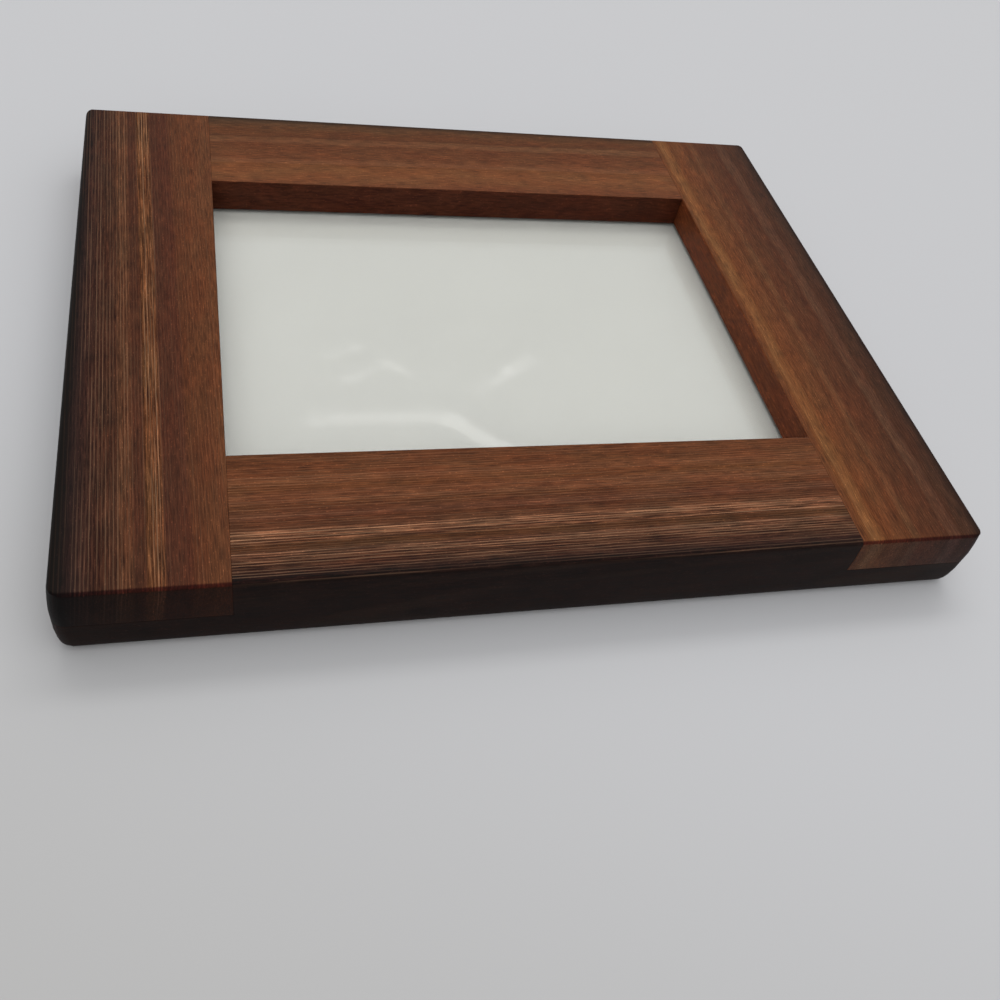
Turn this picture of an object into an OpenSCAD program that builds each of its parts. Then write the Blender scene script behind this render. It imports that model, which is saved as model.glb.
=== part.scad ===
// Wooden picture frame for a 7 by 5 inch picture, lying face up.
// Four members meet in halved corners: the stiles run through in the front half,
// the rails run through in the back half. X is the long side, Z points out of the face.

/* [Picture] */
// Width of the picture, glazing and boards that the frame holds
picture_w = 177.8; // [140:0.1:305]
// Height of the picture, glazing and boards that the frame holds
picture_h = 127; // [90:0.1:255]
// How far each stile laps over the end of the picture
end_lap = 3.4; // [2:0.1:8]
// How far each rail laps over the long edge of the picture
side_lap = 2.3; // [1.5:0.1:8]
// Gap between the picture and the wall of the rabbet, on each side
rabbet_gap = 0.8; // [0.4:0.1:1.5]

/* [Members] */
// Width of the two stiles, across the grain
stile_w = 40.5; // [30:0.5:70]
// Width of the two rails, across the grain
rail_w = 40.5; // [36:0.5:70]
// Thickness of the frame from back to face
thick = 24; // [22:0.5:36]
// Thickness of the front half of a halved corner
front_half = 12; // [9:0.5:15]
// Thickness of the lip in front of the glazing
lip = 11; // [8:0.5:12.5]

/* [Edges] */
// Radius of the outer edge at the back
back_round = 3.5; // [1:0.5:6]
// Radius of the outer edge at the face
face_ease = 1.2; // [0.4:0.1:3]
// Radius of the four corners, seen from the front
corner_round = 3.5; // [1:0.5:8]
// How far the outer faces swell at half their height
side_swell = 0.8; // [0.2:0.1:1.5]
// Height of the flat along the middle of the outer faces
edge_flat = 8; // [2:0.5:10]
// Radius of the edge round the sight opening
sight_ease = 0.4; // [0.2:0.1:1]

/* [Layers] */
// Thickness of the clear film on the glazing
film_t = 0.2; // [0.1:0.1:0.4]
// Thickness of the glazing
glazing_t = 1.2; // [1:0.1:3]
// Thickness of the white card behind the glazing
sheet_t = 0.5; // [0.3:0.1:1.2]
// Thickness of the backing board
board_t = 3.1; // [2:0.1:4]

/* [Turn buttons] */
// Distance of each turn button from the middle of its rail
button_x = 55; // [42:1:68]
// Distance of the pivot from the edge of the rabbet
pivot_in = 6; // [4:0.5:9]
// Reach of the long arm from the pivot
button_arm = 13.5; // [11:0.5:16]
// Reach of the short end from the pivot
button_tail = 6; // [5.5:0.5:9]
// Width of a turn button
button_w = 9.5; // [8:0.5:12]
// Thickness of a turn button
button_t = 1.2; // [0.8:0.1:2]
// Gap between a turn button and the wall of its recess
sweep_gap = 0.5; // [0.3:0.1:1.5]
// Play of a turn button between the recess floor and the screw head, on each side
button_play = 0.1; // [0.05:0.05:0.3]

/* [Screws] */
// Radius of a screw's plain shank
shank_r = 1.5; // [1:0.1:2]
// Running clearance round the shank in a turn button
shank_gap = 0.08; // [0.02:0.01:0.1]
// Length of the thread in the rail
thread_len = 11; // [6:0.5:15]
// Pitch of the thread
thread_pitch = 1.3; // [1:0.1:2]
// Depth of the thread, which bites into the wood
thread_depth = 0.35; // [0.2:0.05:0.5]
// Radius of a screw's pan head
head_r = 3; // [2.5:0.1:4]
// Height of a screw's pan head
head_h = 1.6; // [1.2:0.1:2.4]
// Distance that the heads lie below the back of the frame
head_under = 0.2; // [0.1:0.1:1]
// Width of a blade of the cross recess
cross_w = 0.7; // [0.5:0.1:0.9]

/* [Hanger] */
// Length of the sawtooth hanger
hanger_len = 46; // [36:1:60]
// Height of the hanger's strip, up the rail
hanger_h = 8; // [6:0.5:12]
// Thickness of the hanger's strip
hanger_t = 0.8; // [0.5:0.1:1.2]
// Length of the flat foot at each end of the hanger
foot_len = 7; // [6:0.5:9]
// Rise of the toothed middle above the feet
hanger_rise = 1.2; // [0.8:0.1:2]
// Number of teeth
teeth = 9; // [5:2:13]
// Depth of a tooth
tooth_h = 1.6; // [1:0.1:2.2]
// Width of the flat tip of a tooth
tooth_tip = 0.4; // [0.2:0.1:0.8]
// Gap between the hanger and the end walls of its mortise
mortise_gap = 1; // [0.5:0.1:3]
// Room below the hanger for the head of the wall's nail
nail_room = 9; // [8:0.5:12]
// Distance of the mortise from the outer edge of the rail
mortise_in = 10; // [7:0.5:14]
// Radius of a hanger pin
pin_r = 0.6; // [0.5:0.05:0.8]
// Length of a hanger pin below its head
pin_len = 9; // [6:0.5:12]
// Radius of a hanger pin's head
pin_head_r = 1.6; // [1.3:0.1:2]
// Height of a hanger pin's head
pin_head_h = 0.7; // [0.5:0.1:1]
// How much smaller a pin's hole in the rail is than the pin, on the radius
pin_bite = 0.05; // [0.02:0.01:0.1]

/* [Hidden] */
$fn = 64;
over = 1;

left_wood = [0.40, 0.26, 0.18];
right_wood = [0.47, 0.28, 0.17];
top_wood = [0.42, 0.23, 0.15];
bottom_wood = [0.45, 0.27, 0.18];
film_colour = [0.90, 0.93, 0.94, 0.35];
glazing_colour = [0.80, 0.90, 0.92, 0.45];
sheet_colour = [0.93, 0.93, 0.90];
filler_colour = [0.74, 0.62, 0.44];
board_colour = [0.45, 0.31, 0.20];
steel_colour = [0.72, 0.72, 0.70];
brass_colour = [0.80, 0.66, 0.36];

opening_w = picture_w - 2 * end_lap;
opening_h = picture_h - 2 * side_lap;
frame_w = opening_w + 2 * stile_w;
frame_h = opening_h + 2 * rail_w;
rabbet_w = picture_w + 2 * rabbet_gap;
rabbet_h = picture_h + 2 * rabbet_gap;
lap_z = thick - front_half;

// The corners' radius, never less than the back edge's. The outer faces swell along an arc,
// which runs from the back to the flat and from the flat to the face.
corner_r = max(corner_round, back_round);
swell_in = ((thick * thick - edge_flat * edge_flat) / 4 - side_swell * side_swell)
    / (2 * side_swell);
swell_r = sqrt(swell_in * swell_in + thick * thick / 4);
swell_x = corner_r - swell_in;

// Levels of the layers, from the lip down to the floor of the turn buttons' recesses
film_z = thick - lip - film_t;
glazing_z = film_z - glazing_t;
sheet_z = glazing_z - sheet_t;
floor_z = head_under + head_h + 2 * button_play + button_t;
filler_z = floor_z + board_t;
filler_t = sheet_z - filler_z;

pivot_y = rabbet_h / 2 + pivot_in;
recess_r = button_arm + sweep_gap;
button_z = floor_z - button_play - button_t;
head_z = button_z - button_play;
root_r = shank_r - thread_depth;
ridges = floor(thread_len / thread_pitch);
cross_depth = head_h * 0.6;

hanger_y = frame_h / 2 - mortise_in - mortise_gap - hanger_h;
mortise_w = hanger_len + 2 * mortise_gap;
mortise_h = mortise_gap + hanger_h + nail_room;
mortise_z = head_under + hanger_t + hanger_rise;
slope_len = 2 * hanger_rise;
tooth_w = (hanger_len - 2 * foot_len - 2 * slope_len) / teeth;
notch_w = tooth_w - tooth_tip;
pin_x = (hanger_len - foot_len) / 2;
pin_y = hanger_y + hanger_h / 2;

// What is cut off the swelled profile's lower edge, to round it to radius r
module edge_cut(r) {
    out = corner_r + side_swell + over;
    x = swell_x + sqrt(pow(swell_r - r, 2) - pow(thick / 2 - r, 2));
    difference() {
        polygon([[x, -over], [out, -over],
                 [out, r - (out - x) * (thick / 2 - r) / (x - swell_x)], [x, r]]);
        translate([x, r]) circle(r);
    }
}

// Profile of the frame's outer edge, with its swelled outer face towards +X
module edge_profile() {
    difference() {
        intersection() {
            square([corner_r + side_swell, thick]);
            translate([swell_x, thick / 2]) circle(swell_r, $fn = 720);
        }
        edge_cut(back_round);
        translate([0, thick]) mirror([0, 1]) edge_cut(face_ease);
    }
}

// The solid block that the four members share between them: the profile runs along each
// side and turns round each corner
module outer_block() {
    inner_w = frame_w - 2 * corner_r;
    inner_h = frame_h - 2 * corner_r;
    translate([-inner_w / 2, -inner_h / 2, 0]) cube([inner_w, inner_h, thick]);
    for (a = [0, 180]) rotate([0, 0, a]) {
        translate([inner_w / 2, 0, 0]) rotate([90, 0, 0])
            linear_extrude(inner_h, center = true) edge_profile();
        rotate([0, 0, 90]) translate([inner_h / 2, 0, 0]) rotate([90, 0, 0])
            linear_extrude(inner_w, center = true) edge_profile();
        translate([inner_w / 2, inner_h / 2, 0]) rotate_extrude(angle = 90) edge_profile();
        translate([-inner_w / 2, inner_h / 2, 0]) rotate([0, 0, 90])
            rotate_extrude(angle = 90) edge_profile();
    }
}

// Cross section of the sight opening, w wide, with its edge eased at the face
module sight_section(w) {
    translate([-w / 2, -over]) square([w, thick + 2 * over]);
    for (s = [-1, 1])
        difference() {
            translate([s * (w + sight_ease) / 2, thick + (over - sight_ease) / 2])
                square([sight_ease, sight_ease + over], center = true);
            translate([s * (w / 2 + sight_ease), thick - sight_ease]) circle(sight_ease);
        }
}

// The sight opening and the rabbet behind it, cut from all four members
module sight_and_rabbet() {
    intersection() {
        rotate([90, 0, 0]) linear_extrude(frame_h, center = true) sight_section(opening_w);
        rotate([90, 0, 90]) linear_extrude(frame_w, center = true) sight_section(opening_h);
    }
    translate([-rabbet_w / 2, -rabbet_h / 2, -over])
        cube([rabbet_w, rabbet_h, thick - lip + over]);
}

// A slab as wide as a stile from the sight edge out, long along Y, from level z up by t
module stile_slab(side, long, z, t) {
    wide = stile_w + side_swell;
    translate([side * (opening_w + wide) / 2, 0, z + t / 2]) cube([wide, long, t], center = true);
}

// A stile: full height in front of the lap, between the rails behind it
module stile(side) {
    difference() {
        intersection() {
            outer_block();
            union() {
                stile_slab(side, frame_h + 2 * side_swell, lap_z, front_half);
                stile_slab(side, opening_h, 0, lap_z);
            }
        }
        sight_and_rabbet();
    }
}

// A slab as wide as a rail from the sight edge out, long along X, from level z up by t
module rail_slab(side, long, z, t) {
    wide = rail_w + side_swell;
    translate([0, side * (opening_h + wide) / 2, z + t / 2]) cube([long, wide, t], center = true);
}

// A rail: between the stiles in front of the lap, full width behind it
module rail(side) {
    difference() {
        intersection() {
            outer_block();
            union() {
                rail_slab(side, opening_w, lap_z, front_half);
                rail_slab(side, frame_w + 2 * side_swell, 0, lap_z);
            }
        }
        sight_and_rabbet();
        for (sx = [-1, 1]) translate([sx * button_x, side * pivot_y, 0]) {
            translate([0, 0, -over]) cylinder(h = floor_z + over, r = recess_r);
            cylinder(h = floor_z + thread_len, r = root_r);
        }
    }
}

// One layer of the stack in the rabbet, the size of the picture
module layer(z, t) {
    translate([-picture_w / 2, -picture_h / 2, z]) cube([picture_w, picture_h, t]);
}

// A turn button with its pivot at the origin and its long arm along -Y
module turn_button(x, y, turned) {
    translate([x, y, button_z]) rotate([0, 0, turned]) difference() {
        linear_extrude(button_t) {
            for (end_y = [-button_arm + button_w / 2, button_tail - button_w / 2])
                translate([0, end_y]) circle(button_w / 2);
            translate([-button_w / 2, -button_arm + button_w / 2])
                square([button_w, button_arm + button_tail - button_w]);
        }
        translate([0, 0, -over]) cylinder(h = button_t + 2 * over, r = shank_r + shank_gap);
    }
}

// Outline of a pan head, from its flat underside to its domed top, for turning
module pan_head_outline(r, h) {
    dome_r = (r * r + h * h) / (2 * h) + h / 2;
    intersection() {
        square([r, h]);
        translate([0, h - dome_r]) circle(dome_r);
    }
}

// A wood screw, head down: the thread is a row of ridges that bite into the rail
module screw() {
    difference() {
        translate([0, 0, head_z]) mirror([0, 0, 1]) rotate_extrude()
            pan_head_outline(head_r, head_h);
        for (a = [0, 90])
            translate([0, 0, head_z - head_h])
                rotate([0, 0, a + 20]) cube([head_r * 1.1, cross_w, 2 * cross_depth], center = true);
    }
    translate([0, 0, head_z]) cylinder(h = floor_z - head_z, r = shank_r);
    translate([0, 0, floor_z]) rotate_extrude() polygon(concat(
        [[0, 0]],
        [for (i = [0:ridges - 1], k = [0, 1])
            [k == 0 ? root_r : shank_r, (i + k / 2) * thread_pitch]],
        [[root_r, ridges * thread_pitch], [0, thread_len]]));
}

module left_stile() { color(left_wood) stile(-1); }

module right_stile() { color(right_wood) stile(1); }

// The top rail also has the hanger's mortise and the holes for its pins
module top_rail() {
    color(top_wood) difference() {
        rail(1);
        translate([-mortise_w / 2, hanger_y - nail_room, -over])
            cube([mortise_w, mortise_h, mortise_z + over]);
        for (sx = [-1, 1]) translate([sx * pin_x, pin_y, 0])
            cylinder(h = mortise_z - hanger_t + pin_len, r = pin_r - pin_bite);
    }
}

module bottom_rail() { color(bottom_wood) rail(-1); }

module clear_film() { color(film_colour) layer(film_z, film_t); }

module glazing() { color(glazing_colour) layer(glazing_z, glazing_t); }

module insert_sheet() { color(sheet_colour) layer(sheet_z, sheet_t); }

module filler_board() { color(filler_colour) layer(filler_z, filler_t); }

module backing_board() { color(board_colour) layer(floor_z, board_t); }

module turn_button_top_left() { color(steel_colour) turn_button(-button_x, pivot_y, 0); }

module turn_button_top_right() { color(steel_colour) turn_button(button_x, pivot_y, 0); }

module turn_button_bottom_left() { color(steel_colour) turn_button(-button_x, -pivot_y, 180); }

module turn_button_bottom_right() { color(steel_colour) turn_button(button_x, -pivot_y, 180); }

module button_screws() {
    color(steel_colour) for (sx = [-1, 1], sy = [-1, 1])
        translate([sx * button_x, sy * pivot_y, 0]) screw();
}

// Side view of the hanger's strip: flat feet, sloped steps and a raised middle
module hanger_side() {
    low = mortise_z;
    x1 = hanger_len / 2;
    x2 = x1 - foot_len;
    x3 = x2 - slope_len;
    polygon([[-x1, low], [-x2, low], [-x3, low - hanger_rise], [x3, low - hanger_rise],
             [x2, low], [x1, low], [x1, low - hanger_t], [x2, low - hanger_t],
             [x3, low - hanger_rise - hanger_t], [-x3, low - hanger_rise - hanger_t],
             [-x2, low - hanger_t], [-x1, low - hanger_t]]);
}

// The hanger lies on the floor of its mortise, with its teeth on the lower edge
module sawtooth_hanger() {
    color(brass_colour) difference() {
        translate([0, hanger_y + hanger_h, 0])
            rotate([90, 0, 0]) linear_extrude(hanger_h) hanger_side();
        for (i = [0:teeth - 1])
            translate([(i - (teeth - 1) / 2) * tooth_w, hanger_y, -over])
                linear_extrude(mortise_z + 2 * over)
                    polygon([[-notch_w / 2, -over], [-notch_w / 2, 0], [0, tooth_h],
                             [notch_w / 2, 0], [notch_w / 2, -over]]);
        for (sx = [-1, 1]) translate([sx * pin_x, pin_y, 0])
            cylinder(h = mortise_z + over, r = pin_r);
    }
}

module hanger_pins() {
    color(steel_colour) for (sx = [-1, 1]) translate([sx * pin_x, pin_y, mortise_z - hanger_t]) {
        mirror([0, 0, 1]) rotate_extrude() pan_head_outline(pin_head_r, pin_head_h);
        cylinder(h = pin_len, r = pin_r);
    }
}

left_stile();
right_stile();
top_rail();
bottom_rail();
clear_film();
glazing();
insert_sheet();
filler_board();
backing_board();
turn_button_top_left();
turn_button_top_right();
turn_button_bottom_left();
turn_button_bottom_right();
button_screws();
sawtooth_hanger();
hanger_pins();
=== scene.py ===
import math
import bmesh
import bpy
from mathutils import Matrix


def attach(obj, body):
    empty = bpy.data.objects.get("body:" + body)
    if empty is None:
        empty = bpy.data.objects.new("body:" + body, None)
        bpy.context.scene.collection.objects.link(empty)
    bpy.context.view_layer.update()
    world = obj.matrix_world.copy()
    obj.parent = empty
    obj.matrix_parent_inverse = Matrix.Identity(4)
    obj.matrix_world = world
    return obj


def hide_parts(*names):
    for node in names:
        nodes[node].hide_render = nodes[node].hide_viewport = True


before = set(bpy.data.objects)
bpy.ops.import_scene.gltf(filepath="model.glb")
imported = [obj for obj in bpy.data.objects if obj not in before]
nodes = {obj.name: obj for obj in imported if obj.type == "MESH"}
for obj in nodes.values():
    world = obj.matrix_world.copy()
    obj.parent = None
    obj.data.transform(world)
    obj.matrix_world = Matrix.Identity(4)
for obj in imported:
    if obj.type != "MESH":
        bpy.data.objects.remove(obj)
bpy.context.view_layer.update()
mm = 0.001


# The camera stands over the frame's lower left corner and looks down across the face.
bpy.ops.object.select_all(action="DESELECT")
bpy.ops.object.camera_add(
    location=(-0.08681, -0.24012, 0.22362),
    rotation=(math.radians(40.1284), math.radians(-10.3288), math.radians(-11.9056)),
)
camera = bpy.context.object
camera.data.sensor_width = 36
camera.data.lens = 36
camera.data.clip_start = 0.01
bpy.context.scene.camera = camera


# The table is one plain pale sheet, with a painted shadow that darkens it towards the near left.
# Most of the light comes down from the room's ceiling and least from its sides, with more
# from the front and the right than from behind and the left. A long lamp hangs behind the frame.
table_wide = 8.0
table_painted_shadow_fades_way = (1.5, 2.2, 0)
table_painted_shadow_full_at = -0.7
table_painted_shadow_gone_at = -0.15
room_brighter_way = (0.21, -0.31, 1.23)
room_even_light = 0.12
room_side_loss = 0.6
room_least_light = 0.05


def paint(red, green, blue):
    """A colour as a paint chart gives it, 0 to 255, as the value that a shader reads."""

    def linear(level):
        level /= 255
        return level / 12.92 if level <= 0.04045 else ((level + 0.055) / 1.055) ** 2.4

    return linear(red), linear(green), linear(blue), 1.0


def node(tree, kind, inputs=None, **settings):
    """Adds a shader node with its settings, and gives its inputs their values or links."""
    made = tree.nodes.new("ShaderNode" + kind)
    for name, value in settings.items():
        setattr(made, name, value)
    for name, value in (inputs or {}).items():
        if isinstance(value, bpy.types.NodeSocket):
            tree.links.new(value, made.inputs[name])
        else:
            made.inputs[name].default_value = value
    return made


def math_node(tree, operation, first, second=0.0, third=0.0):
    """A Math node's result."""
    made = node(tree, "Math", {0: first, 1: second, 2: third}, operation=operation)
    return made.outputs[0]


def dot(tree, vector, way):
    """How far a vector reaches along a way."""
    made = node(tree, "VectorMath", {0: vector, 1: way}, operation="DOT_PRODUCT")
    return made.outputs["Value"]


def step(tree, value, low, high):
    """A soft step from 0 at low to 1 at high."""
    return node(tree, "MapRange", {"Value": value, "From Min": low, "From Max": high},
                interpolation_type="SMOOTHSTEP").outputs[0]


def mixed(tree, share, first, second):
    """The first colour where the share is 0, and the second where it is 1."""
    return node(tree, "Mix", {0: share, 6: first, 7: second}, data_type="RGBA").outputs[2]


def finish_named(name):
    """A new material and its node tree, emptied."""
    finish = bpy.data.materials.new(name)
    finish.use_nodes = True
    finish.node_tree.nodes.clear()
    return finish, finish.node_tree


def show(tree, shader):
    """Sends a shader to the material's output."""
    node(tree, "OutputMaterial", {"Surface": shader})


bpy.ops.mesh.primitive_plane_add(size=table_wide, location=(0, 0, 0))
table = bpy.context.object
table.name = "table"

table_top, tree = finish_named("table_top")
place = node(tree, "TexCoord").outputs["Object"]
# Painted shadow: the table's colour darkens towards the near left, fully from the first place and
# not at all past the second.
across = step(tree, dot(tree, place, table_painted_shadow_fades_way), table_painted_shadow_full_at, table_painted_shadow_gone_at)
tone = mixed(tree, across, paint(191, 191, 191), paint(205, 206, 209))
show(tree, node(tree, "BsdfPrincipled", {
    "Base Color": tone, "Roughness": 0.75, "Specular IOR Level": 0.2}).outputs[0])
table.data.materials.append(table_top)

bpy.ops.object.light_add(type="AREA", location=(0.20, 0.70, 1.46))
lamp = bpy.context.object
lamp.data.shape = "RECTANGLE"
lamp.data.size = 1.3
lamp.data.size_y = 0.34
lamp.data.energy = 4.4
lamp.data.color = (1.0, 0.99, 0.97)
lamp.rotation_euler = (math.radians(-25.6), math.radians(2.0), 0)

room = bpy.data.worlds.new("room")
room.use_nodes = True
room.node_tree.nodes.clear()
bpy.context.scene.world = room
tree = room.node_tree
ray = node(tree, "LightPath")
seen = ray.outputs["Is Camera Ray"]
for other in ("Is Transmission Ray", "Is Glossy Ray"):
    seen = math_node(tree, "MAXIMUM", seen, ray.outputs[other])
way = node(tree, "TexCoord").outputs["Generated"]
sideways = node(tree, "SeparateXYZ", {0: way}).outputs["X"]
sideways = math_node(tree, "MULTIPLY", sideways, sideways)
level = math_node(tree, "ADD", dot(tree, way, room_brighter_way), room_even_light)
level = math_node(tree, "MULTIPLY_ADD", sideways, -room_side_loss, level)
level = math_node(tree, "MAXIMUM", level, room_least_light)
fill = node(tree, "Background", {"Color": (1.0, 0.995, 0.99, 1), "Strength": level})
pale = node(tree, "Background", {"Color": paint(196, 198, 200), "Strength": 1.0})
both = node(tree, "MixShader", {0: seen, 1: fill.outputs[0], 2: pale.outputs[0]})
node(tree, "OutputWorld", {"Surface": both.outputs[0]})

bpy.context.scene.view_settings.view_transform = "Standard"


# The left stile is one of the frame's two short sides, of straight-grained softwood under a
# dark oil. It runs the whole height in the front half. Its back half stops at the rails,
# which lap over it there, and a rabbet for the glazing and boards runs along its inner edge.
frame_x = 126 * mm
frame_y = 101.7 * mm
opening_x = 85.5 * mm
opening_y = 61.2 * mm
rabbet_x = 89.7 * mm
rabbet_y = 64.3 * mm
face_z = 24 * mm
lip_z = 13 * mm
lap_z = 12 * mm
member_wide = 40.5 * mm
back_round = 3.5 * mm
face_ease = 1.2 * mm
corner_round = 3.5 * mm
side_swell = 0.79 * mm
edge_flat = 8 * mm
swell_levels = [level * mm for level in (5, 8, 16, 19, 22)]
sight_ease = 0.4 * mm
joint_ease = 0.13 * mm
hair = 0.01 * mm
mostly = 0.9
sharp_bend = 0.5


def block(name, low, high):
    """Adds a cube between two corners, its place kept in its mesh, and opens it for shaping."""
    bpy.ops.object.select_all(action="DESELECT")
    bpy.ops.mesh.primitive_cube_add(size=1, location=[(a + b) / 2 for a, b in zip(low, high)])
    piece = bpy.context.object
    piece.scale = [abs(b - a) for a, b in zip(low, high)]
    bpy.ops.object.transform_apply(location=True, rotation=True, scale=True)
    piece.name = name
    piece.data.name = name
    bpy.ops.object.mode_set(mode="EDIT")
    return piece


def slice_at(axis, places):
    """Cuts the piece right across at places along an axis, 0 for X, 1 for Y or 2 for Z."""
    for distance in places:
        point = [0, 0, 0]
        normal = [0, 0, 0]
        point[axis] = distance
        normal[axis] = 1
        bpy.ops.mesh.select_all(action="SELECT")
        bpy.ops.mesh.bisect(plane_co=point, plane_no=normal)


def pick_faces(rule):
    """Selects only the faces whose middle and normal pass the rule."""
    bpy.ops.mesh.select_mode(type="FACE")
    bpy.ops.mesh.select_all(action="DESELECT")
    mesh = bmesh.from_edit_mesh(bpy.context.object.data)
    for face in mesh.faces:
        face.select_set(rule(face.calc_center_median(), face.normal))
    bmesh.update_edit_mesh(bpy.context.object.data)


def pull(x=0.0, y=0.0, z=0.0):
    """Extrudes the picked faces."""
    bpy.ops.mesh.extrude_region_move(TRANSFORM_OT_translate={"value": (x, y, z)})


def ease(radius, rule):
    """Marks the edges whose middle and direction pass the rule, to be rounded by radius."""
    bpy.ops.mesh.select_mode(type="EDGE")
    bpy.ops.mesh.select_all(action="DESELECT")
    mesh = bmesh.from_edit_mesh(bpy.context.object.data)
    for edge in mesh.edges:
        start, end = (corner.co for corner in edge.verts)
        bend = edge.calc_face_angle(0.0)
        edge.select_set(bend > sharp_bend and rule((start + end) / 2, (end - start).normalized()))
    bmesh.update_edit_mesh(bpy.context.object.data)
    bpy.ops.transform.edge_bevelweight(value=radius / back_round)


def apply(piece, kind, **settings):
    """Adds a modifier, sets it and applies it."""
    bpy.context.view_layer.objects.active = piece
    modifier = piece.modifiers.new(kind.lower(), kind)
    for name, value in settings.items():
        setattr(modifier, name, value)
    bpy.ops.object.modifier_apply(modifier=modifier.name)


def smooth(piece):
    """Shades the rounded edges smooth and keeps the flats flat."""
    bpy.ops.object.select_all(action="DESELECT")
    piece.select_set(True)
    bpy.context.view_layer.objects.active = piece
    bpy.ops.object.shade_smooth_by_angle(angle=math.radians(40))
    apply(piece, "WEIGHTED_NORMAL", keep_sharp=True, weight=100)


def near(value, other):
    """True where two measures differ by less than a hair."""
    return abs(value - other) < hair


def swell_sides():
    """Sands the outer faces a little round, below and above a flat at half their height."""
    slice_at(2, swell_levels)
    bpy.ops.mesh.select_mode(type="VERT")
    arc = side_swell / (1 - (edge_flat / face_z) ** 2)
    for level in (*swell_levels, lap_z, lip_z):
        out = min(side_swell, arc * (1 - (2 * level / face_z - 1) ** 2))
        for axis, side in ((0, -1), (0, 1), (1, -1), (1, 1)):
            bpy.ops.mesh.select_all(action="DESELECT")
            mesh = bmesh.from_edit_mesh(bpy.context.object.data)
            for corner in mesh.verts:
                corner.select_set(near(corner.co.z, level)
                                  and near(corner.co[axis], side * (frame_x, frame_y)[axis]))
            bmesh.update_edit_mesh(bpy.context.object.data)
            outwards = [0, 0, 0]
            outwards[axis] = side * out
            bpy.ops.transform.translate(value=outwards)


def ease_member():
    """Rounds a member's outer edges and its sight edge, and then takes the sharpness off the
    edges that are left, so that a hairline shows at each joint."""

    def along_outside(middle):
        return near(abs(middle.x), frame_x) or near(abs(middle.y), frame_y)

    def at_corner(middle):
        return abs(middle.x) > frame_x - hair and abs(middle.y) > frame_y - hair

    def in_opening(middle):
        return abs(middle.x) < opening_x + hair and abs(middle.y) < opening_y + hair

    ease(back_round, lambda middle, way: near(middle.z, 0) and along_outside(middle))
    ease(face_ease, lambda middle, way: near(middle.z, face_z) and along_outside(middle))
    ease(corner_round, lambda middle, way: abs(way.z) > mostly and at_corner(middle))
    ease(sight_ease, lambda middle, way: near(middle.z, face_z)
         and in_opening(middle) and not along_outside(middle))
    bpy.ops.object.mode_set(mode="OBJECT")
    apply(bpy.context.object, "BEVEL", limit_method="WEIGHT", width=back_round, segments=6)
    apply(bpy.context.object, "BEVEL", limit_method="ANGLE", width=joint_ease, segments=2,
          angle_limit=math.radians(50))


def stile(name, side):
    """Shapes a stile, on the left for side -1 and on the right for side 1."""
    piece = block(name, (min(side * frame_x, side * opening_x), -frame_y, lip_z),
                  (max(side * frame_x, side * opening_x), frame_y, face_z))
    slice_at(1, (-rabbet_y, -opening_y, opening_y, rabbet_y))
    slice_at(0, (side * rabbet_x,))
    pick_faces(lambda middle, normal: normal.z < -mostly
               and (abs(middle.x) > rabbet_x or abs(middle.y) > rabbet_y))
    pull(z=lap_z - lip_z)
    pick_faces(lambda middle, normal: normal.z < -mostly and near(middle.z, lap_z)
               and abs(middle.x) > rabbet_x and abs(middle.y) < opening_y)
    pull(z=-lap_z)
    swell_sides()
    ease_member()
    return piece


def new_group(name, ins, outs):
    """Starts a shader node group. Each input is a name, a kind and a value."""
    group = bpy.data.node_groups.new(name, "ShaderNodeTree")
    for label, kind, value in ins:
        made = group.interface.new_socket(label, in_out="INPUT", socket_type="NodeSocket" + kind)
        if value is not None:
            made.default_value = value
    for label, kind in outs:
        group.interface.new_socket(label, in_out="OUTPUT", socket_type="NodeSocket" + kind)
    return group, group.nodes.new("NodeGroupInput").outputs, group.nodes.new("NodeGroupOutput")


def stretched(tree, vector, along, across, deep):
    """Coordinates for a pattern that is long with the grain and fine across it."""
    made = node(tree, "VectorMath", {0: vector, 1: (along, across, deep)}, operation="MULTIPLY")
    return made.outputs[0]


def noise(tree, vector, detail=2.0, scale=1.0):
    """A cloudy pattern about 0.5, finer with scale and rougher with detail."""
    made = node(tree, "TexNoise", {"Vector": vector, "Scale": scale, "Detail": detail})
    return made.outputs["Fac"]


def scaled(tree, vector, amount):
    """A vector or colour times a number."""
    return node(tree, "VectorMath", {0: vector, 3: amount}, operation="SCALE").outputs[0]


def combined(tree, operation, first, second):
    """Two vectors or colours, combined channel by channel."""
    return node(tree, "VectorMath", {0: first, 1: second}, operation=operation).outputs[0]


# Growth rings of a quarter-sawn board: X runs with the grain, Y across it, Z out of the face.
# The rings are Pitch apart, a little unevenly, and some of them show less than others.
grain, given, out = new_group(
    "growth_rings",
    [("Vector", "Vector", None), ("Drift", "Float", 0.0), ("Lean", "Float", 0.1),
     ("Wander", "Float", 0.001), ("Waves", "Float", 0.0), ("Pitch", "Float", 0.0011)],
    [("Across", "Float"), ("Lines", "Float"), ("Hairlines", "Float"), ("Fibres", "Float"),
     ("Flecks", "Float"), ("Mottle", "Float"), ("Blush", "Float")])
split = node(grain, "SeparateXYZ", {0: given["Vector"]}).outputs
bow = noise(grain, stretched(grain, given["Vector"], 7, 14, 14), 1.0)
bow = math_node(grain, "SUBTRACT", bow, 0.5)
wave = noise(grain, stretched(grain, given["Vector"], 60, 70, 60), 3.0)
wave = math_node(grain, "SUBTRACT", wave, 0.5)
ring = math_node(grain, "MULTIPLY_ADD", split["X"], given["Drift"], split["Y"])
ring = math_node(grain, "MULTIPLY_ADD", split["Z"], given["Lean"], ring)
ring = math_node(grain, "MULTIPLY_ADD", bow, given["Wander"], ring)
ring = math_node(grain, "MULTIPLY_ADD", wave, given["Waves"], ring)
rings = node(grain, "CombineXYZ", {0: split["X"], 1: ring, 2: split["Z"]}).outputs[0]
uneven = noise(grain, stretched(grain, rings, 3, 420, 12), 2.0)
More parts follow.
